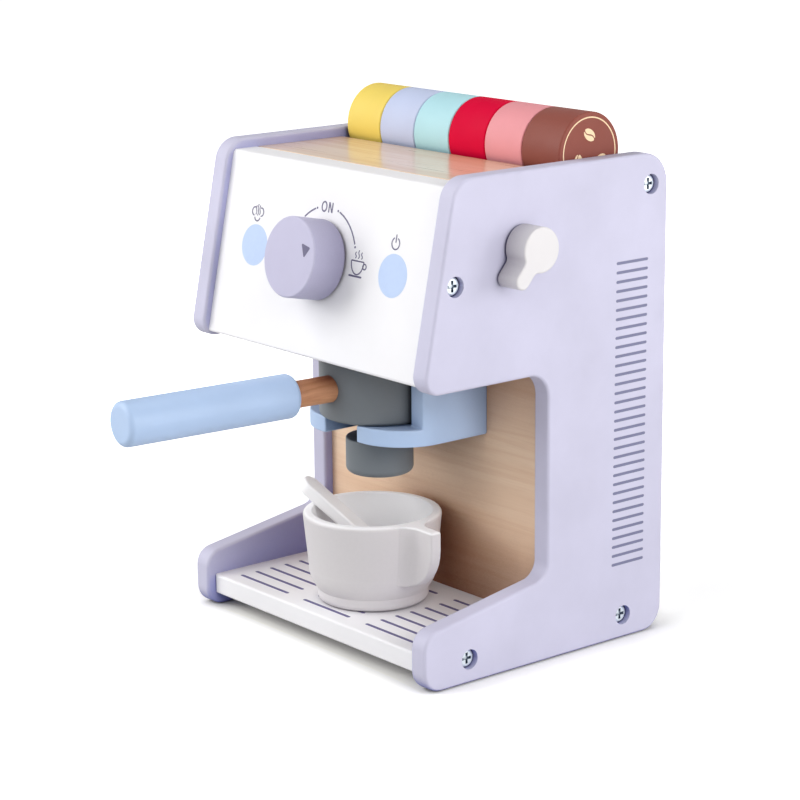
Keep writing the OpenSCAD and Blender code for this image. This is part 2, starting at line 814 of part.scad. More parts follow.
// a thin end that flares into the cup's sloping wall
module cup_handle() {
    top = cup_h - cup_handle_drop;
    curve_x = cup_handle_r - cup_handle_curve_r;
    low = arc([curve_x, cup_handle_curve_z], cup_handle_curve_r, 0, -handle_sweep, 8);
    half_t = cup_handle_t / 2;
    rim_r = cup_rim_d / 2;
    axis_y = half_t + cup_handle_fillet;
    axis_x = fillet_x(rim_r, axis_y);
    root = axis_y * rim_r / norm([axis_x, axis_y]);
    slope = atan((axis_x - fillet_x(cup_belly_d / 2, axis_y)) / (cup_h - rim_out_r - cup_belly_z));
    color("white") at_cup() rotate([0, 0, -cup_handle_turn]) difference() {
        translate([0, root, 0]) rotate([90, 0, 0]) linear_extrude(2 * root)
            polygon(concat([[0, top], [cup_handle_r, top]], low, [[0, low[len(low) - 1].y]]));
        for (side = [-1, 1]) translate([axis_x, side * axis_y, cup_h]) rotate([0, slope, 0]) {
            translate([0, 0, -2 * cup_h]) cylinder(r = cup_handle_fillet, h = 3 * cup_h);
            translate([0, -cup_handle_fillet, -2 * cup_h])
                cube([cup_handle_r, 2 * cup_handle_fillet, 3 * cup_h]);
        }
        rotate_extrude() polygon(concat(cup_outside(glue_gap), [[0, cup_h + glue_gap]]));
    }
}

// the stick leans on the rim and runs down to the far corner of the cup's bottom
module stirring_stick() {
    edge = stick_offset + stick_w / 2;
    rim_r = cup_rim_d / 2 - cup_wall + rim_in_r;
    lift = rim_in_r + rest_gap;
    touch_x = lift * sin(stick_slope) - sqrt(rim_r * rim_r - edge * edge);
    touch_z = cup_h - rim_in_r + lift * cos(stick_slope);
    inside = (touch_z - cup_floor - stick_tip_gap) / sin(stick_slope);
    low = inside - stick_w / 2;
    high = inside - stick_l + stick_w / 2;
    color("white") at_cup() rotate([0, 0, stick_turn]) translate([touch_x, stick_offset, touch_z])
        rotate([0, stick_slope, 0]) linear_extrude(stick_t)
            polygon(concat(
                arc([low, 0], stick_w / 2, -90, 90, 24),
                arc([high, 0], stick_w / 2, 90, 270, 24)));
}

in_frame() side_panel_left();
in_frame() side_panel_right();
in_frame() front_panel();
in_frame() base_board();
in_frame() inner_wall();
in_frame() housing_floor();
in_frame() top_board();
in_frame() capsule_tray_floor();
in_frame() rear_rail();
in_frame() back_cover();
in_frame() board_dowels_left();
in_frame() board_dowels_right();
in_frame() panel_screws_left();
in_frame() panel_screws_right();
in_frame() filter_bracket();
in_frame() bracket_screws();
in_frame() control_knob();
in_frame() knob_axle();
in_frame() knob_spacer();
in_frame() knob_retaining_washer();
in_frame() knob_screw();
in_frame() steam_lever();
in_frame() lever_axle();
in_frame() lever_spacer();
in_frame() lever_retaining_washer();
in_frame() lever_screw();
in_frame() filter_spout();
in_frame() filter_neck();
in_frame() filter_head();
in_frame() handle_dowel();
in_frame() handle_grip();
in_frame() capsule_1();
in_frame() capsule_2();
in_frame() capsule_3();
in_frame() capsule_4();
in_frame() capsule_5();
in_frame() capsule_6();
in_frame() cup();
in_frame() cup_handle();
in_frame() stirring_stick();
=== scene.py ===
"""Looks for the toy coffee maker: soft edges, prints, paint, wood, metal, studio and camera."""

import json

from math import atan, atan2, cos, pi, radians, sin

import bmesh
import bpy
from mathutils import Matrix, Vector


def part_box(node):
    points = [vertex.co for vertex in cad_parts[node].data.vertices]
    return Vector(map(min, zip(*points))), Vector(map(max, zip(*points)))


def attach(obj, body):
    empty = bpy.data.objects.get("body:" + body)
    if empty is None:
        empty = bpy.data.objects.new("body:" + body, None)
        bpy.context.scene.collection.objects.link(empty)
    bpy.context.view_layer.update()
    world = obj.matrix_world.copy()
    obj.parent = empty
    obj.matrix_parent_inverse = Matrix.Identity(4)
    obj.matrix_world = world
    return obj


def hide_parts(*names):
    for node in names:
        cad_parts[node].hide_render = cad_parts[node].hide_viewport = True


MM = 0.001
X_AXIS, Y_AXIS, Z_AXIS = range(3)

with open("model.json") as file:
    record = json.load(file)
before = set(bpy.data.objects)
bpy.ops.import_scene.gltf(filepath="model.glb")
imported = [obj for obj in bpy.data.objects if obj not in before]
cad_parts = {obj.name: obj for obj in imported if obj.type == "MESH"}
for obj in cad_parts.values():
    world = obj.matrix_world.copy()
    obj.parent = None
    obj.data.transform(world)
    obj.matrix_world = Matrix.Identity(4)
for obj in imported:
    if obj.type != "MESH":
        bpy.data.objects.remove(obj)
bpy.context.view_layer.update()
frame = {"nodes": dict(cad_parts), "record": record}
scene = bpy.context.scene
nodes = frame["nodes"]
record = frame["record"]
body_of_node = {n: body for body, group in record["behaviour"]["bodies"].items() for n in group}
slot_of_node = {s["node"]: s["material_slot"] for s in record["subparts"]}

# The machine's own origin: on the ground, midway between the side panels, at their front edges.
panel_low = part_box("side_panel_left")[0]
panel_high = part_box("side_panel_right")[1]
ORIGIN = Vector(((panel_low.x + panel_high.x) / 2, panel_low.y, 0))

# Measures of the CAD part, in mm from that origin
BODY_H = 235
NOSE_Z = 139
FRONT_LEAN = 19.6
FRONT_INSET = 3.8
HALF_W = 90
INNER_X = 80
BASE_TOP = 16.5
KNOB_RISE = 50.2
CUP_WALL = 4.6
LEAN = atan(FRONT_LEAN / (BODY_H - NOSE_Z))


def place(x, y, z):
    """A point of the scene, given in mm from the machine's own origin."""
    return ORIGIN + Vector((x, y, z)) * MM


def axes(origin, u, v):
    """A matrix whose X and Y run along u and v from origin, for shapes drawn in mm."""
    u, v = Vector(u).normalized(), Vector(v).normalized()
    w = u.cross(v)
    m = Matrix((u, v, w)).transposed().to_4x4()
    return Matrix.Translation(origin) @ m @ Matrix.Scale(MM, 4)


# ---- materials ----

# The Mix node's sockets for colours
MIX_FACTOR, MIX_A, MIX_B, MIX_RESULT = 0, 6, 7, 2

# Most of a noise texture's values lie between these.
NOISE_RANGE = (0.3, 0.7)

# The paint's textures: waves per metre, and the height of the bumps in metres
TONE_SCALE = 24
SHEEN_SCALE = 70
FINE_SCALE = 620
PEEL_SCALE = 1500
FINE_HEIGHT = 0.00018
PEEL_HEIGHT = 0.00012

# Rays for each measure of openness in the object's materials
OPENNESS_SAMPLES = 8


def linear(rgb):
    """An sRGB colour in 0..255 as linear RGBA."""
    shares = [c / 255 for c in rgb]
    return (*(c / 12.92 if c <= 0.04 else ((c + 0.055) / 1.055) ** 2.4 for c in shares), 1)


def tinted(rgb, share):
    return tuple(min(255, c * share) for c in rgb)


class Wires:
    """Short ways to add nodes to a node tree. A node's inputs are values, or sockets to link."""

    def __init__(self, tree):
        self.tree = tree

    def fill(self, n, inputs):
        """Sets or links a node's inputs, which are given by name or number."""
        for key, value in inputs.items():
            if isinstance(value, bpy.types.NodeSocket):
                self.tree.links.new(value, n.inputs[key])
            else:
                n.inputs[key].default_value = value

    def node(self, kind, inputs=None, **settings):
        n = self.tree.nodes.new(kind)
        for key, value in settings.items():
            setattr(n, key, value)
        self.fill(n, inputs or {})
        return n

    def spread(self, value, low, high, to_low=0.0, to_high=1.0, **settings):
        """Stretches a value from the range low..high to the range to_low..to_high."""
        inputs = {
            "Value": value, "From Min": low, "From Max": high, "To Min": to_low, "To Max": to_high}
        return self.node("ShaderNodeMapRange", inputs, **settings).outputs["Result"]

    def mix(self, factor, a, b, **settings):
        """Mixes two colours."""
        inputs = {MIX_FACTOR: factor, MIX_A: a, MIX_B: b}
        n = self.node("ShaderNodeMix", inputs, data_type="RGBA", **settings)
        return n.outputs[MIX_RESULT]

    def math(self, operation, *values):
        n = self.node("ShaderNodeMath", dict(enumerate(values)), operation=operation)
        return n.outputs[0]

    def openness(self, reach, **settings):
        """How little other surfaces within reach mm close a point in, from 0 to 1."""
        n = self.node("ShaderNodeAmbientOcclusion", {"Distance": reach * MM}, **settings)
        return n.outputs["AO"]


class Shader(Wires):
    """A material with a Principled shader, and procedural textures for it."""

    def __init__(self, name):
        self.material = bpy.data.materials.new(name)
        self.material.use_nodes = True
        super().__init__(self.material.node_tree)
        self.surface = next(n for n in self.tree.nodes if n.type == "BSDF_PRINCIPLED")
        self.where = self.node("ShaderNodeTexCoord").outputs["Object"]

    def coordinate(self, axis):
        return self.node("ShaderNodeSeparateXYZ", {"Vector": self.where}).outputs["XYZ"[axis]]

    def stretched(self, scale, shift=(0, 0, 0)):
        inputs = {"Vector": self.where, "Scale": scale, "Location": shift}
        return self.node("ShaderNodeMapping", inputs).outputs["Vector"]

    def noise(self, scale, detail=3, roughness=0.5, distortion=0, where=None):
        inputs = {
            "Vector": where or self.where, "Scale": scale, "Detail": detail,
            "Roughness": roughness, "Distortion": distortion}
        return self.node("ShaderNodeTexNoise", inputs).outputs["Fac"]

    def bump(self, height, strength, distance, under=None):
        inputs = {"Height": height, "Strength": strength, "Distance": distance}
        if under is not None:
            inputs["Normal"] = under
        return self.node("ShaderNodeBump", inputs).outputs["Normal"]

    def shaded(self, colour, reach, tint, low, high):
        """Paints shade into a colour where the openness within reach mm falls from high towards
        low.
        """
        open_share = self.spread(self.openness(reach, samples=OPENNESS_SAMPLES), low, high)
        dimmed = self.mix(1, colour, (*tint, 1), blend_type="MULTIPLY")
        return self.mix(open_share, dimmed, colour)

    def set(self, **inputs):
        """Gives the shader its inputs, with _ for a space in their names."""
        self.fill(self.surface, {key.replace("_", " "): value for key, value in inputs.items()})
        return self.material


def paint(name, rgb, rough=0.5, peel=0.10, uneven=0.02, shine=0.25, hollow_shade=(), inner_open=None):
    """Sprayed satin paint: slightly uneven tone, fine orange peel, a softer sheen in places.

    A list of the last four arguments of Shader.shaded says how painted shade deepens closed-in
    places.
    With inner_open, that is the upper bound of the first one between the side panels, where
    little light gets in, so that the painted shade there is deeper.
    """
    s = Shader(name)
    broad = s.spread(s.noise(TONE_SCALE, 4, 0.55), *NOISE_RANGE)
    fine = s.noise(FINE_SCALE, 3, 0.6)
    tone = s.mix(broad, linear(tinted(rgb, 1 - uneven)), linear(tinted(rgb, 1 + uneven)))
    darker = linear(tinted(rgb, 1 - uneven * 0.7))
    speck = s.mix(s.spread(fine, 0.35, 0.65), darker, tone)
    colour = s.mix(s.spread(fine, 0.45, 0.9, 0.0, 0.6), tone, speck)
    # painted shade, deepest where other surfaces close the paint in
    for i, (reach, tint, low, high) in enumerate(hollow_shade):
        if inner_open and i == 0:
            # between the side panels the painted shade is deeper and bluer
            from_middle = s.math("ABSOLUTE", s.math("SUBTRACT", s.coordinate(X_AXIS), ORIGIN.x))
            inside, outside = (INNER_X + 0.5) * MM, (INNER_X + 2.5) * MM
            high = s.spread(from_middle, inside, outside, inner_open, high)
        colour = s.shaded(colour, reach, tint, low, high)
    grain = s.bump(fine, peel * 0.8, FINE_HEIGHT)
    return s.set(
        Base_Color=colour,
        Roughness=s.spread(s.noise(SHEEN_SCALE, 4), *NOISE_RANGE, rough - 0.05, rough + 0.06),
        Normal=s.bump(s.noise(PEEL_SCALE, 2, 0.5), peel, PEEL_HEIGHT, grain),
        Specular_IOR_Level=shine,
    )


def wood(name, light, dark, along, rough=0.45, coat=0.0, contrast=1.0):
    """Fine straight grain along an axis: broad bands, narrow streaks, and pores in the surface,
    with painted shade where other surfaces close it in.
    """
    s = Shader(name)

    def grain(length, width, shift=0):
        """Waves of this length and width, in metres."""
        scale = tuple(1 / length if i == along else 1 / width for i in range(3))
        return s.stretched(scale, (shift, shift * 0.7, shift * 1.3))

    bands = s.noise(1, 3, 0.5, 0.4, grain(0.35, 0.022))
    streaks = s.noise(1, 5, 0.6, 0.5, grain(0.12, 0.0042, 3))
    fibres = s.noise(1, 3, 0.6, 0.2, grain(0.022, 0.0006, 7))
    middle = tuple((a + b) / 2 for a, b in zip(light, dark))
    broad = s.mix(s.spread(bands, 0.36, 0.66), linear(light), linear(middle))
    streaky = s.mix(s.spread(streaks, 0.48, 0.78, 0, 0.85 * contrast), broad, linear(dark))
    fibrous = s.spread(fibres, 0.5, 0.8, 0, 0.30 * contrast)
    colour = s.mix(fibrous, streaky, linear(tinted(dark, 0.93)))
    return s.set(
        # painted shade: a warm, deep tint where other surfaces close the wood in
        Base_Color=s.shaded(colour, *WOOD_HOLLOW_SHADE),
        Roughness=s.spread(streaks, *NOISE_RANGE, rough - 0.04, rough + 0.08),
        Normal=s.bump(fibres, 0.12, 0.00012, s.bump(streaks, 0.08, 0.0003)),
        Coat_Weight=coat,
        Coat_Roughness=0.16,
    )


def cup_paint(name, outside, inside):
    """The cup's paint, with painted light: brighter on the inside and on the top of its rim."""
    s = Shader(name)
    low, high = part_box("cup")
    middle, tall = (low + high) / 2, high.z - low.z
    flat = s.node("ShaderNodeVectorMath", {0: s.where, 1: (1, 1, 0)}, operation="MULTIPLY")
    ends = {0: flat.outputs["Vector"], 1: (middle.x, middle.y, 0)}
    from_axis = s.node("ShaderNodeVectorMath", ends, operation="DISTANCE").outputs["Value"]
    height = s.coordinate(Z_AXIS)
    # under the belly the outside is as near to the axis, so only what lies above it gets the
    # painted light
    above_belly = s.spread(height, low.z + 0.36 * tall, low.z + 0.4 * tall)
    inner_edge = (high.x - low.x) / 2 - CUP_WALL * MM
    within = s.spread(from_axis, inner_edge + 0.6 * MM, inner_edge + 1.2 * MM, 1, 0)
    rim = s.spread(height, high.z - 1.3 * MM, high.z - 0.3 * MM)
    # painted light: the inside and the rim's top take the brighter colour
    bright = s.math("MAXIMUM", s.math("MULTIPLY", above_belly, within), rim)
    fine = s.spread(s.noise(FINE_SCALE, 3, 0.6), *NOISE_RANGE)
    outer = s.mix(fine, linear(tinted(outside, 0.992)), linear(outside))
    return s.set(
        Base_Color=s.mix(bright, outer, linear(inside)),
        Roughness=s.spread(s.noise(SHEEN_SCALE, 4), *NOISE_RANGE, 0.44, 0.56),
        Normal=s.bump(s.noise(PEEL_SCALE, 2, 0.5), 0.1, PEEL_HEIGHT),
        Specular_IOR_Level=0.25,
    )


def metal(name, rgb, rough):
    """Zinc plate: bright, with faint cloudy patches, fine scratches and painted shade in its
    recesses.
    """
    s = Shader(name)
    cloud = s.spread(s.noise(900, 3), *NOISE_RANGE)
    scratch = s.noise(1, 2, 0.5, 0, s.stretched((900, 5200, 900)))
    bright = s.mix(cloud, linear(tinted(rgb, 0.95)), linear(rgb))
    # painted shade: a darker, less metallic colour where the recess closes the screw in
    hollow = s.openness(1.6, only_local=True, samples=OPENNESS_SAMPLES)
    open_to_light = s.spread(hollow, 0.55, 0.85)
    return s.set(
        Base_Color=s.mix(open_to_light, linear(RECESS_SHADE), bright),
        Metallic=s.spread(open_to_light, 0, 1, 0.3, 0.45),
        Roughness=s.spread(scratch, *NOISE_RANGE, rough - 0.06, rough + 0.08),
        Normal=s.bump(scratch, 0.05, 0.00004),
    )


def plastic(name, rgb, rough=0.5):
    s = Shader(name)
    fine = s.noise(1800, 2)
    return s.set(
        Base_Color=s.mix(s.spread(fine, *NOISE_RANGE), linear(tinted(rgb, 0.93)), linear(rgb)),
        Roughness=s.spread(fine, *NOISE_RANGE, rough - 0.05, rough + 0.05),
        Normal=s.bump(fine, 0.1, 0.00005),
    )


def ink(name, rgb, rough=0.5):
    """Screen-printed ink: a thin, slightly patchy film, with the paint's texture in it."""
    s = Shader(name)
    patch = s.spread(s.noise(420, 3), 0.3, 0.75)
    return s.set(
        Base_Color=s.mix(patch, linear(rgb), linear(tinted(rgb, 1.015))),
        Specular_IOR_Level=0.25,
        Roughness=s.spread(s.noise(300, 2), *NOISE_RANGE, rough - 0.05, rough + 0.06),
        Normal=s.bump(s.noise(PEEL_SCALE, 2), 0.08, 0.0001),
    )


# Painted shade in closed-in places: reach in mm, tint of the shade, and the openness of full and
# of no tint
LILAC_HOLLOW_SHADE = [(60, (0.28, 0.33, 0.78), 0.05, 0.42), (7, (0.26, 0.2, 0.26), 0.05, 0.45)]
KNOB_HOLLOW_SHADE = [(40, (0.4, 0.38, 0.48), 0.2, 0.95)]
LEVER_HOLLOW_SHADE = [(22, (0.28, 0.25, 0.32), 0.25, 0.85)]
PALE_HOLLOW_SHADE = [(12, (0.6, 0.58, 0.61), 0.1, 0.6)]
BLUE_HOLLOW_SHADE = [(30, (0.38, 0.44, 0.55), 0.15, 0.75)]
GREY_HOLLOW_SHADE = [(30, (0.2, 0.24, 0.28), 0.1, 0.8)]
# painted shade on the wood: warm and deep where other surfaces close it in
WOOD_HOLLOW_SHADE = (46, (0.24, 0.09, 0.03), 0.12, 0.72)

# The colour of the painted shade in the screws' recesses
RECESS_SHADE = (76, 92, 112)

PAINTS = {
    "lilac_paint": {"rgb": (203, 201, 222), "hollow_shade": LILAC_HOLLOW_SHADE, "inner_open": 0.8},
    "white_paint": {"rgb": (246, 245, 247), "uneven": 0.008, "hollow_shade": PALE_HOLLOW_SHADE},
    "blue_paint": {"rgb": (179, 203, 236), "rough": 0.42, "shine": 0.55, "hollow_shade": BLUE_HOLLOW_SHADE},
    "grey_paint": {"rgb": (119, 125, 130), "rough": 0.46, "hollow_shade": GREY_HOLLOW_SHADE},
    "knob_paint": {"rgb": (193, 190, 214), "hollow_shade": KNOB_HOLLOW_SHADE},
    "lever_paint": {"rgb": (227, 224, 225), "uneven": 0.008, "hollow_shade": LEVER_HOLLOW_SHADE},
    "stick_paint": {"rgb": (254, 253, 254), "uneven": 0.004, "shine": 0.5},
    "yellow_paint": {"rgb": (239, 212, 101)},
    "lilac_blue_paint": {"rgb": (195, 205, 233)},
    "teal_paint": {"rgb": (181, 226, 234)},
    "red_paint": {"rgb": (218, 4, 57), "rough": 0.6, "shine": 0.06},
    "pink_paint": {"rgb": (231, 152, 158)},
    "brown_paint": {"rgb": (138, 75, 64), "rough": 0.45, "peel": 0.2, "shine": 0.15},
}
LOOKS = {name: paint(name, **look) for name, look in PAINTS.items()}
LOOKS["bare_wood"] = wood("bare_wood", (249, 218, 187), (223, 177, 138), X_AXIS, contrast=0.6)
LOOKS["beech"] = wood("beech", (228, 172, 128), (168, 106, 72), Y_AXIS, 0.5)
LOOKS["cup_paint"] = cup_paint("cup_paint", (220, 216, 217), (254, 253, 254))
LOOKS["screw_steel"] = metal("screw_steel", (240, 250, 255), 0.4)
LOOKS["washer_steel"] = metal("washer_steel", (206, 208, 212), 0.3)
LOOKS["spacer"] = plastic("spacer", (92, 88, 98))
MARKS = ink("grey_ink", (104, 100, 128))
SLOTS = ink("slot_ink", (104, 98, 140))
VENTS = ink("vent_ink", (122, 123, 152))
DISCS = ink("blue_ink", (192, 211, 243))
CREAM = ink("cream_ink", (246, 218, 178))

# The top board is the same wood under a glossier varnish, which mirrors the capsules.
LACQUERED = wood("lacquered_wood", (239, 210, 182), (212, 166, 122), X_AXIS, 0.3, 0.6)
look_of_node = {name: LOOKS[slot_of_node[name]] for name in nodes}
look_of_node["top_board"] = LACQUERED
for name, obj in nodes.items():
    obj.data.materials.clear()
    obj.data.materials.append(look_of_node[name])


# ---- softened boards ----

# Edges that turn by less than this are shaded smooth.
SMOOTH_BELOW = radians(35)
# Edges that turn by more than this are rounded.
SHARP_ABOVE = radians(40)
# CAD vertices nearer than this, and faces that turn by less than this, are merged.
MERGE_DISTANCE = 0.002 * MM
MERGE_ANGLE = radians(0.5)
# The least cosine to the normal, and the greatest distance, of a face in a board's outer plane
FACING = 0.999
PLANE_SLACK = 0.01 * MM
# At a sharp turn, an offset outline moves no further than the offset divided by this.
MITRE_LIMIT = 0.5


def finish_piece(bm, name, body, material):
    """Turns a bmesh into a piece that rides on a CAD body."""
    bmesh.ops.recalc_face_normals(bm, faces=bm.faces)
    for face in bm.faces:
        face.smooth = True
    for edge in bm.edges:
        edge.smooth = edge.calc_face_angle(0) < SMOOTH_BELOW
    mesh = bpy.data.meshes.new(name)
    bm.to_mesh(mesh)
    bm.free()
    mesh.materials.append(material)
    obj = bpy.data.objects.new(name, mesh)
    scene.collection.objects.link(obj)
    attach(obj, body)
    return obj


def groups_of(edges):
    """Sorts edges into the groups that hang together."""
    left, groups = set(edges), []
    while left:
        group, front = set(), [left.pop()]
        while front:
            e = front.pop()
            group.add(e)
            for v in e.verts:
                for n in v.link_edges:
                    if n in left:
                        left.remove(n)
                        front.append(n)
        groups.append(group)
    return groups


def extent(group):
    """The diagonal of the box around a group of edges."""
    co = [v.co for e in group for v in e.verts]
    return (Vector(map(max, zip(*co))) - Vector(map(min, zip(*co)))).length


def merged_copy(node):
    """A CAD node's mesh with its flat faces joined up."""
    bm = bmesh.new()
    bm.from_mesh(nodes[node].data)
    bmesh.ops.remove_doubles(bm, verts=bm.verts, dist=MERGE_DISTANCE)
    bmesh.ops.dissolve_limit(
        bm, angle_limit=MERGE_ANGLE, verts=bm.verts, edges=bm.edges,
        use_dissolve_boundaries=False)
    return bm


def stand_in(bm, node):
    """Shows this shape in place of a CAD node, with the node's material."""
    body, slot, look = body_of_node[node], slot_of_node[node], look_of_node[node]
    obj = finish_piece(bm, node + "_soft", body, look)
    weighted = obj.modifiers.new("flat faces", "WEIGHTED_NORMAL")
    weighted.keep_sharp = True
    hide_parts(node)


def in_order(edges):
    """The vertices of a closed loop of edges, one after the other."""
    edges = set(edges)
    first = next(iter(edges))
    ring, at = [first.verts[0]], first.verts[1]
    edges.remove(first)
    while edges:
        ring.append(at)
        step = next(e for e in at.link_edges if e in edges)
        edges.remove(step)
        at = step.other_vert(at)
    return ring


def shifted(ring):
    """The same closed ring, from its second point on."""
    return ring[1:] + ring[:1]


def bridge(bm, lower, upper):
    """Joins two closed rings of vertices by a band of faces."""
    for corners in zip(lower, shifted(lower), shifted(upper), upper):
        bm.faces.new(corners)


def round_rims(node, radius, segments):
    """Replaces a board by a copy with its outline rounded at both faces.

    The board's faces look to the left and to the right. Its holes stay sharp."""
    bm = merged_copy(node)
    radius *= MM
    for out in (Vector((1, 0, 0)), Vector((-1, 0, 0))):
        level = max(v.co.dot(out) for v in bm.verts)
        cap = {f for f in bm.faces if f.normal.dot(out) > FACING
               and abs(f.verts[0].co.dot(out) - level) < PLANE_SLACK}
        rims = groups_of([e for e in bm.edges if sum(f in cap for f in e.link_faces) == 1])
        outline = max(rims, key=extent)
        holes = [e for group in rims if group is not outline for e in group]
        bmesh.ops.delete(bm, geom=list(cap), context="FACES")
        ring = in_order(outline)
        points = [v.co.copy() for v in ring]
        area = sum((a.cross(b) for a, b in zip(points, shifted(points))), Vector())
        if area.dot(out) < 0:
            ring, points = ring[::-1], points[::-1]
        ways = [(b - a).normalized() for a, b in zip(points, shifted(points))]
        inward = []
        for i, way in enumerate(ways):
            before, after = out.cross(ways[i - 1]), out.cross(way)
            middle = (before + after).normalized()
            inward.append(middle / max(MITRE_LIMIT, middle.dot(after)))
        for v, p in zip(ring, points):
            v.co = p - out * radius
        last = ring
        for k in range(1, segments + 1):
            turn = pi / 2 * k / segments
            rise, set_in = radius * (sin(turn) - 1), radius * (1 - cos(turn))
            step = [bm.verts.new(p + out * rise + w * set_in) for p, w in zip(points, inward)]
            bridge(bm, last, step)
            last = step
        # a flat border, so that the flat face's triangles don't share the rounding's normals
        step = [bm.verts.new(v.co + w * radius / 2) for v, w in zip(last, inward)]
        bridge(bm, last, step)
        edge = [bm.edges.get(pair) for pair in zip(step, shifted(step))]
        bmesh.ops.triangle_fill(bm, edges=edge + holes, use_beauty=True, normal=out)
    stand_in(bm, node)


def soften(node, radius, segments=4, least=20, keep=None):
    """Replaces a CAD node by a copy with its sharp edges rounded.

    Groups of edges that reach no further than least, such as holes, stay sharp, and so do the
    edges whose middle doesn't pass keep. All lengths are in mm."""
    bm = merged_copy(node)
    sharp = [e for e in bm.edges if e.is_manifold and e.calc_face_angle(0) > SHARP_ABOVE]
    chosen = [e for group in groups_of(sharp) if extent(group) > least * MM for e in group]
    if keep:
        chosen = [e for e in chosen if keep(((e.verts[0].co + e.verts[1].co) / 2 - ORIGIN) / MM)]
    bmesh.ops.bevel(
        bm, geom=chosen, offset=radius * MM, offset_type="OFFSET", segments=segments,
        profile=0.5, affect="EDGES", clamp_overlap=False, loop_slide=True, material=-1)
    stand_in(bm, node)


base_front = (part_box("base_board")[0].y - ORIGIN.y) / MM
cup_low, cup_high = ((corner - ORIGIN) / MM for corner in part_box("cup"))
cup_axis = ((cup_low + cup_high) / 2).to_2d()
cup_clear = (cup_high.x - cup_low.x) / 2 + 1.5


# Which edges are rounded, by their middle in mm from the machine's own origin

def between_panels(p):
    return abs(p.x) < INNER_X - 0.5


def front_or_between(p):
    return between_panels(p) or p.y < base_front + 1


def off_cup_wall(p):
    return (p.to_2d() - cup_axis).length > cup_clear


for side in ("side_panel_left", "side_panel_right"):
    round_rims(side, 1.5, 5)
soften("front_panel", 1.4, keep=between_panels)
soften("base_board", 1.3, keep=front_or_between)
soften("top_board", 0.6, 3, keep=between_panels)
soften("rear_rail", 1, 3, keep=between_panels)
soften("filter_bracket", 0.8, 3)
round_rims("steam_lever", 0.8, 3)
soften("stirring_stick", 1.2)
soften("cup_handle", 1.0, 3, 5, keep=off_cup_wall)


# ---- shapes of printed marks: an outline is a list of points in mm ----

ARC_STEP = 8  # degrees
CAP_TURNS = [radians(turn) for turn in (-60, -30, 0, 30, 60)]
WAVE_STEPS = 8
DISC_SIDES = 48
DOT_SIDES = 12
OVAL_SIDES = 28
FLAT_TURN = radians(1)


def around(centre, rx, ry, angle):
    """A point on an ellipse at an angle in degrees."""
    return (centre[0] + rx * cos(radians(angle)), centre[1] + ry * sin(radians(angle)))


def arc(centre, radius, start, end, n=None):
    """Points of an arc, in degrees."""
    n = n or max(3, round(abs(end - start) / ARC_STEP))
    return [around(centre, radius, radius, start + (end - start) * i / n) for i in range(n + 1)]


def disc(centre, radius, n=DISC_SIDES):
    return arc(centre, radius, 0, 360 * (n - 1) / n, n - 1)


def hoop(centre, radius, width, n):
    """A ring, as its outer and its inner outline."""
    return [disc(centre, radius + width / 2, n), disc(centre, radius - width / 2, n)]


def oval(centre, rx, ry, width):
    """A ring of oval shape, as its outer and its inner outline."""
    return [[around(centre, rx + grow, ry + grow, 360 * i / OVAL_SIDES) for i in range(OVAL_SIDES)]
            for grow in (width / 2, -width / 2)]


def wave(x, low, high, sway):
    """A wavy line that runs upwards, for steam."""
    shares = [i / WAVE_STEPS for i in range(WAVE_STEPS + 1)]
    return [(x + sway * sin(2 * pi * share), low + (high - low) * share) for share in shares]


def stroke(points, width):
    """The outline of a pen stroke with round ends."""
    pts = [Vector(p) for p in points]
    ways = [(b - a).normalized() for a, b in zip(pts, pts[1:])]
    left, right = [], []
    for i, p in enumerate(pts):
        before, after = ways[max(i - 1, 0)], ways[min(i, len(ways) - 1)]
        across = before + after
        across = Vector((-across.y, across.x)).normalized()
        reach = width / 2 / max(MITRE_LIMIT, across.dot(Vector((-after.y, after.x))))
        left.append(p + across * reach)
        right.append(p - across * reach)

    def cap(centre, way):
        a = atan2(way.y, way.x)
        return [centre + Vector((cos(a + t), sin(a + t))) * width / 2 for t in CAP_TURNS]

    return left + cap(pts[-1], ways[-1])[::-1] + right[::-1] + cap(pts[0], -ways[0])[::-1]


def prints(name, shapes, on, body, material, proud=0.06, deep=0.05):
    """A thin printed film on a plane, which starts deep mm under it and ends proud mm over it.

    Each shape is a list of outlines: the first is its outside and the others are holes."""
    bm = bmesh.new()
    for shape in shapes:
        edges = []
        for outline in shape:
            ring = [bm.verts.new((p[0], p[1], proud)) for p in outline]
            edges += [bm.edges.new(pair) for pair in zip(ring, shifted(ring))]
        bmesh.ops.triangle_fill(bm, edges=edges, use_beauty=True)
    bmesh.ops.dissolve_limit(bm, angle_limit=FLAT_TURN, verts=bm.verts, edges=bm.edges)
    low = bmesh.ops.extrude_face_region(bm, geom=bm.faces[:], use_keep_orig=True)["geom"]
    for v in low:
        if isinstance(v, bmesh.types.BMVert):
            v.co.z -= proud + deep
    bmesh.ops.transform(bm, matrix=on, verts=bm.verts)
    finish_piece(bm, name, body, material)


# ---- marks on the front panel and the knob: X across, Y up the slope from the nose ----

FRONT_PROUD = 0.08
face_low = place(0, FRONT_INSET * cos(LEAN), NOSE_Z - FRONT_INSET * sin(LEAN))
FRONT = axes(face_low, (1, 0, 0), (0, sin(LEAN), cos(LEAN)))
KNOB = (0, KNOB_RISE)
BUTTON_X = 52.6
BUTTON_R = 10
DIAL_R = 25
DOT_R = 0.55
DIAL_PEN = 0.75
SIGN_PEN = 0.62
STEAM_PEN = 0.5


def dial_arc(start, end):
    return [stroke(arc(KNOB, DIAL_R, start, end), DIAL_PEN)]


def dial_dot(angle):
    return [disc(around(KNOB, DIAL_R, DIAL_R, angle), DOT_R, DOT_SIDES)]


def steam(x, low, high, sway):
    return [stroke(wave(x, low, high, sway), STEAM_PEN)]


dial_marks = [
    dial_arc(132, 112.8), dial_dot(109.6), dial_dot(73), dial_arc(69.5, 25.2), dial_dot(21.4)]

# the word ON
LETTER_PEN = 0.72
WORD_LOW, WORD_HIGH = 72.6, 77.4
N_LEFT, N_RIGHT = -0.1, 3.1
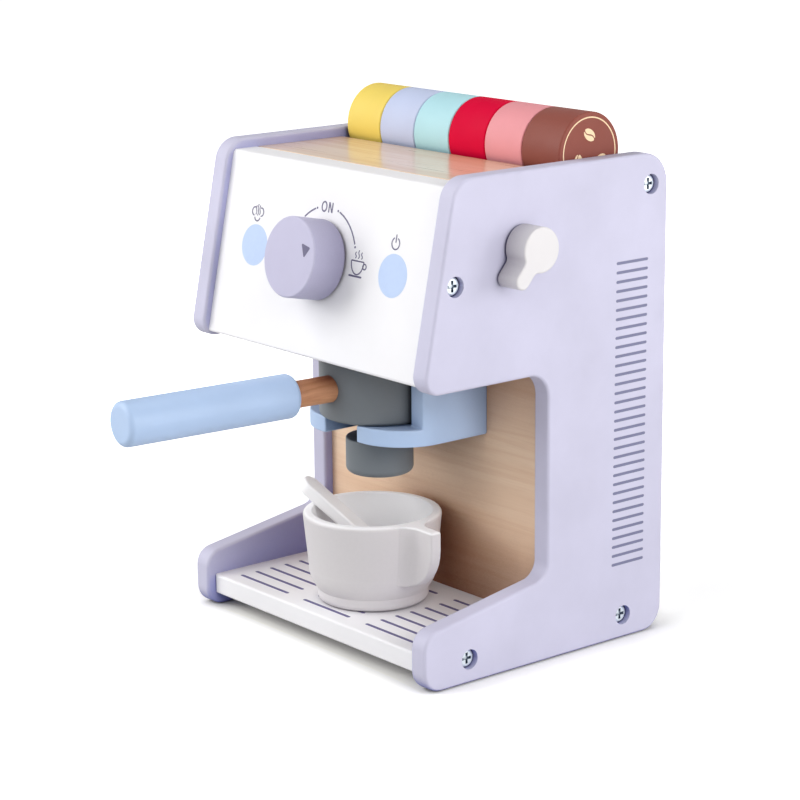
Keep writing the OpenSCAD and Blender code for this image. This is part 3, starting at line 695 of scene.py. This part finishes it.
# how far down or up, and how far across, the slope of the N starts
N_DROP, N_CUT = 1.25, 0.85
on_word = [
    oval((-3.3, (WORD_LOW + WORD_HIGH) / 2), 1.75, 2.25, LETTER_PEN),
    [[(N_LEFT, WORD_LOW), (N_LEFT + LETTER_PEN, WORD_LOW),
      (N_LEFT + LETTER_PEN, WORD_HIGH - N_DROP), (N_RIGHT - N_CUT, WORD_LOW),
      (N_RIGHT, WORD_LOW), (N_RIGHT, WORD_HIGH), (N_RIGHT - LETTER_PEN, WORD_HIGH),
      (N_RIGHT - LETTER_PEN, WORD_LOW + N_DROP), (N_LEFT + N_CUT, WORD_HIGH),
      (N_LEFT, WORD_HIGH)]],
]

# a steaming cup on its saucer
BOWL_TOP = 53.1
bowl = [around((26.7, BOWL_TOP), 4.5, 6.0, a) for a in range(185, 356, 9)]
cup_sign = [
    [stroke([(22.4, 53.3), (31.0, 53.3)], 0.6)],
    [stroke([(22.2, BOWL_TOP), *bowl, (31.2, BOWL_TOP)], SIGN_PEN)],
    hoop((32.0, 51.3), 1.25, 0.6, 20),
    [stroke([(21.8, 46.2), (30.4, 46.2)], 0.85)],
    steam(24.7, 54.6, 57.2, 0.42),
    steam(26.9, 54.6, 58.2, 0.42),
    steam(29.1, 54.6, 57.4, 0.42),
]

# a cloud of steam
steam_sign = [
    [stroke(arc((-56.0, 66.3), 2.0, 78, 262), SIGN_PEN)],
    [stroke(arc((-53.5, 63.9), 2.1, 196, 344), SIGN_PEN)],
    [stroke(arc((-51.0, 66.3), 2.0, 102, -82), SIGN_PEN)],
    steam(-54.9, 64.9, 69.0, 0.35),
    steam(-53.5, 64.6, 69.8, 0.35),
    steam(-52.1, 64.9, 69.2, 0.35),
]

# a broken ring with a bar, the common sign for power
POWER_X = 51.5
power_sign = [
    [stroke(arc((POWER_X, 64.8), 2.7, 122, 418), SIGN_PEN)],
    [stroke([(POWER_X, 65.4), (POWER_X, 68.7)], SIGN_PEN)],
]

prints("button_discs", [[disc((x, KNOB_RISE), BUTTON_R)] for x in (-BUTTON_X, BUTTON_X)],
       FRONT, "machine", DISCS, FRONT_PROUD)
prints("front_marks", dial_marks + on_word + cup_sign + steam_sign + power_sign,
       FRONT, "machine", MARKS, FRONT_PROUD)

POINTER = [(8.4, 57.1), (8.9, 57.5), (14.3, 56.4), (14.6, 55.9), (11.4, 51.6), (10.8, 51.7)]
knob_top = max((v.co - FRONT.translation).dot(FRONT.col[2].to_3d().normalized())
               for v in nodes["control_knob"].data.vertices) / MM
KNOB_FACE = FRONT @ Matrix.Translation((0, 0, knob_top))
prints("knob_pointer", [[POINTER]], KNOB_FACE, "knob", MARKS, FRONT_PROUD)


# ---- the drip grille's slots: X across, Y to the back ----

SLOT_ROWS = [13.5 + 9.15 * i for i in range(7)]
SLOT_COLUMNS = [(-69.7, -30.5), (-18.0, 18.0), (30.5, 69.7)]
SLOT_W = 1.9
BASE = axes(place(0, 0, BASE_TOP), (1, 0, 0), (0, 1, 0))


def bar(start, end, y, width):
    """A level bar with round ends, from start to end."""
    return stroke([(start + width / 2, y), (end - width / 2, y)], width)


slots = [[bar(start, end, y, SLOT_W)] for y in SLOT_ROWS for start, end in SLOT_COLUMNS]
prints("grille_slots", slots, BASE, "machine", SLOTS)


# ---- the vents on the right side panel: X to the back, Y up ----

VENT_COUNT = 34
VENT_W = 1.4
VENT_TOP = 185
VENT_DROP = 147
# the front and rear ends of the vents, and how far they lie forward at the lowest one
VENT_FRONT, VENT_FRONT_LEAN = 118, 1
VENT_REAR, VENT_REAR_LEAN = 138.5, 0.5
RIGHT = axes(place(HALF_W, 0, 0), (0, 1, 0), (0, 0, 1))


def vent(share):
    """A vent at a share of the way down."""
    start, end = VENT_FRONT - VENT_FRONT_LEAN * share, VENT_REAR - VENT_REAR_LEAN * share
    return bar(start, end, VENT_TOP - VENT_DROP * share, VENT_W)


vents = [[vent(i / (VENT_COUNT - 1))] for i in range(VENT_COUNT)]
prints("side_vents", vents, RIGHT, "machine", VENTS)


# ---- the ring and the beans on each capsule's end ----

END_RING_R = 16.4
END_RING_W = 0.6
BEANS_R = 8.2
BEAN_HALF_L = 3.9
BEAN_HALF_W = 2.6
BEAN_TURN = 55
CREASE_SWAY = 0.6
CREASE_GAP = 0.32
BEAN_STEPS = 14


def bean_half(centre, turn, side):
    """One half of a bean, cut along an S-shaped crease. side is -1 or 1."""
    shares = [i / BEAN_STEPS for i in range(1, BEAN_STEPS)]
    back = [(BEAN_HALF_L * cos(pi * t), side * BEAN_HALF_W * sin(pi * t)) for t in shares]
    crease = []
    for t in (2 * share - 1 for share in shares):
        gap = CREASE_GAP * (1 - t * t * 0.5)
        crease.append((BEAN_HALF_L * t, CREASE_SWAY * sin(pi * t) + side * gap))
    c, s = cos(turn), sin(turn)
    return [(centre[0] + x * c - y * s, centre[1] + x * s + y * c) for x, y in back + crease]


end_print = [hoop((0, 0), END_RING_R, END_RING_W, 64)]
for angle in (90, 210, 330):
    spot = around((0, 0), BEANS_R, BEANS_R, angle)
    end_print += [[bean_half(spot, radians(angle + BEAN_TURN), side)] for side in (-1, 1)]
for capsule in (f"capsule_{i}" for i in range(1, 7)):
    low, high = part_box(capsule)
    middle = (low + high) / 2
    end_plane = axes((high.x, middle.y, middle.z), (0, 1, 0), (0, 0, 1))
    prints(f"{capsule}_print", end_print, end_plane, body_of_node[capsule], CREAM)


# ---- floor and surroundings ----

# half the floor's width in metres, and its depth in mm under the toy, which keeps them apart
FLOOR_HALF = 16
FLOOR_DROP = 0.2
# the share of light that it gives back to the toy
FLOOR_ALBEDO = 0.7
# seen directly, the lit floor is white: brighter paint, and a glow that sets in away from the toy
FLOOR_SEEN = 1.68
FLOOR_GLOW = 1.0
GLOW_RANGE = (0.3, 0.8)
# a painted contact shadow where the toy stands on it: its reach in mm, range of openness, and
# shade
CONTACT_SHADOW_REACH = 30
CONTACT_SHADOW_RANGE = (0.44, 0.99)
CONTACT_SHADOW_TONE = (0.56, 0.555, 0.53)
# the white surroundings only show, and are weak in reflections: all the light is the lamps'
WORLD_MIRRORED = 0.55


def grey(level):
    return (level, level, level, 1)


def floor_material():
    material = bpy.data.materials.new("floor_white")
    material.use_nodes = True
    material.node_tree.nodes.clear()
    w = Wires(material.node_tree)
    path = w.node("ShaderNodeLightPath")
    # painted contact shadow: the floor darkens where the toy closes it in
    away = w.spread(w.openness(CONTACT_SHADOW_REACH), *CONTACT_SHADOW_RANGE)
    contact_shadow = w.mix(away, (*(FLOOR_SEEN * c for c in CONTACT_SHADOW_TONE), 1), grey(FLOOR_SEEN))
    colour = w.mix(path.outputs["Is Camera Ray"], grey(FLOOR_ALBEDO), contact_shadow)
    diffuse = w.node("ShaderNodeBsdfDiffuse", {"Color": colour})
    where = w.node("ShaderNodeTexCoord")
    distance = w.node("ShaderNodeVectorMath", {0: where.outputs["Object"]}, operation="LENGTH")
    reach = w.spread(
        distance.outputs["Value"], *GLOW_RANGE, 0, FLOOR_GLOW, interpolation_type="SMOOTHSTEP")
    seen = w.math("MAXIMUM", path.outputs["Is Camera Ray"], path.outputs["Is Glossy Ray"])
    glow = w.node("ShaderNodeEmission", {"Strength": w.math("MULTIPLY", seen, reach)})
    both = w.node("ShaderNodeAddShader", {0: diffuse.outputs[0], 1: glow.outputs[0]})
    w.node("ShaderNodeOutputMaterial", {"Surface": both.outputs[0]})
    return material


def studio_floor():
    bm = bmesh.new()
    bmesh.ops.create_grid(bm, x_segments=1, y_segments=1, size=FLOOR_HALF)
    mesh = bpy.data.meshes.new("floor")
    bm.to_mesh(mesh)
    bm.free()
    mesh.materials.append(floor_material())
    obj = bpy.data.objects.new("floor", mesh)
    obj.location.z = -FLOOR_DROP * MM
    scene.collection.objects.link(obj)


def surroundings():
    world = bpy.data.worlds.new("studio")
    scene.world = world
    world.use_nodes = True
    w = Wires(world.node_tree)
    path = w.node("ShaderNodeLightPath")
    strength = w.math(
        "MULTIPLY_ADD", path.outputs["Is Glossy Ray"], WORLD_MIRRORED,
        path.outputs["Is Camera Ray"])
    background = next(n for n in w.tree.nodes if n.type == "BACKGROUND")
    w.fill(background, {"Color": grey(1), "Strength": strength})


studio_floor()
surroundings()


# ---- light ----

# square lamps around the toy, at this distance in metres from the point they aim at
LAMP_AIM = place(0, 68, 110)
LAMP_DISTANCE = 1.8
# azimuth (0 is in front, 90 on the right) and elevation in degrees, side in metres, power in watts
LAMPS = {
    "key_front_left": (-45, 38, 1.4, 20),
    "front": (0, 38, 1.2, 7.5),
    "low_left": (-45, 12, 0.7, 6.5),
    "front_right": (60, 34, 0.9, 5),
    "right": (90, 18, 1.0, 14.5),
    "rear_right_low": (135, 12, 1.0, 12),
    "rear_right_high": (135, 38, 1.0, 1.6),
    "rear_top": (180, 65, 1.0, 4),
}


def direction(azimuth, elevation):
    """The unit vector that points out from the toy, for angles in degrees."""
    a, e = radians(azimuth), radians(elevation)
    return Vector((sin(a) * cos(e), -cos(a) * cos(e), sin(e)))


for name, (azimuth, elevation, side, power) in LAMPS.items():
    light = bpy.data.lights.new(name, "AREA")
    light.shape = "SQUARE"
    light.size = side
    light.energy = power
    lamp = bpy.data.objects.new(name, light)
    way = direction(azimuth, elevation)
    lamp.location = LAMP_AIM + way * LAMP_DISTANCE
    lamp.rotation_euler = (-way).to_track_quat("-Z", "Y").to_euler()
    lamp.visible_camera = False
    scene.collection.objects.link(lamp)


# ---- camera, solved from the outlines of the boards in the photograph ----

CAMERA_AT = place(928.298, -700.065, 407.580)
AZIMUTH, ELEVATION, ROLL = 50.671, 13.818, radians(-0.493)
IMAGE_PX = 800
FOCAL_PX = 2545.9
SENSOR = 36.0

camera_data = bpy.data.cameras.new("camera")
camera_data.sensor_width = SENSOR
camera_data.lens = SENSOR * FOCAL_PX / IMAGE_PX
camera = bpy.data.objects.new("camera", camera_data)
back = direction(AZIMUTH, ELEVATION)
right = (-back).cross(Vector((0, 0, 1))).normalized()
up = right.cross(-back)
right, up = right * cos(ROLL) + up * sin(ROLL), up * cos(ROLL) - right * sin(ROLL)
turned = Matrix((right, up, back)).transposed().to_4x4()
camera.matrix_world = Matrix.Translation(CAMERA_AT) @ turned
scene.collection.objects.link(camera)
scene.camera = camera

scene.view_settings.view_transform = "Standard"
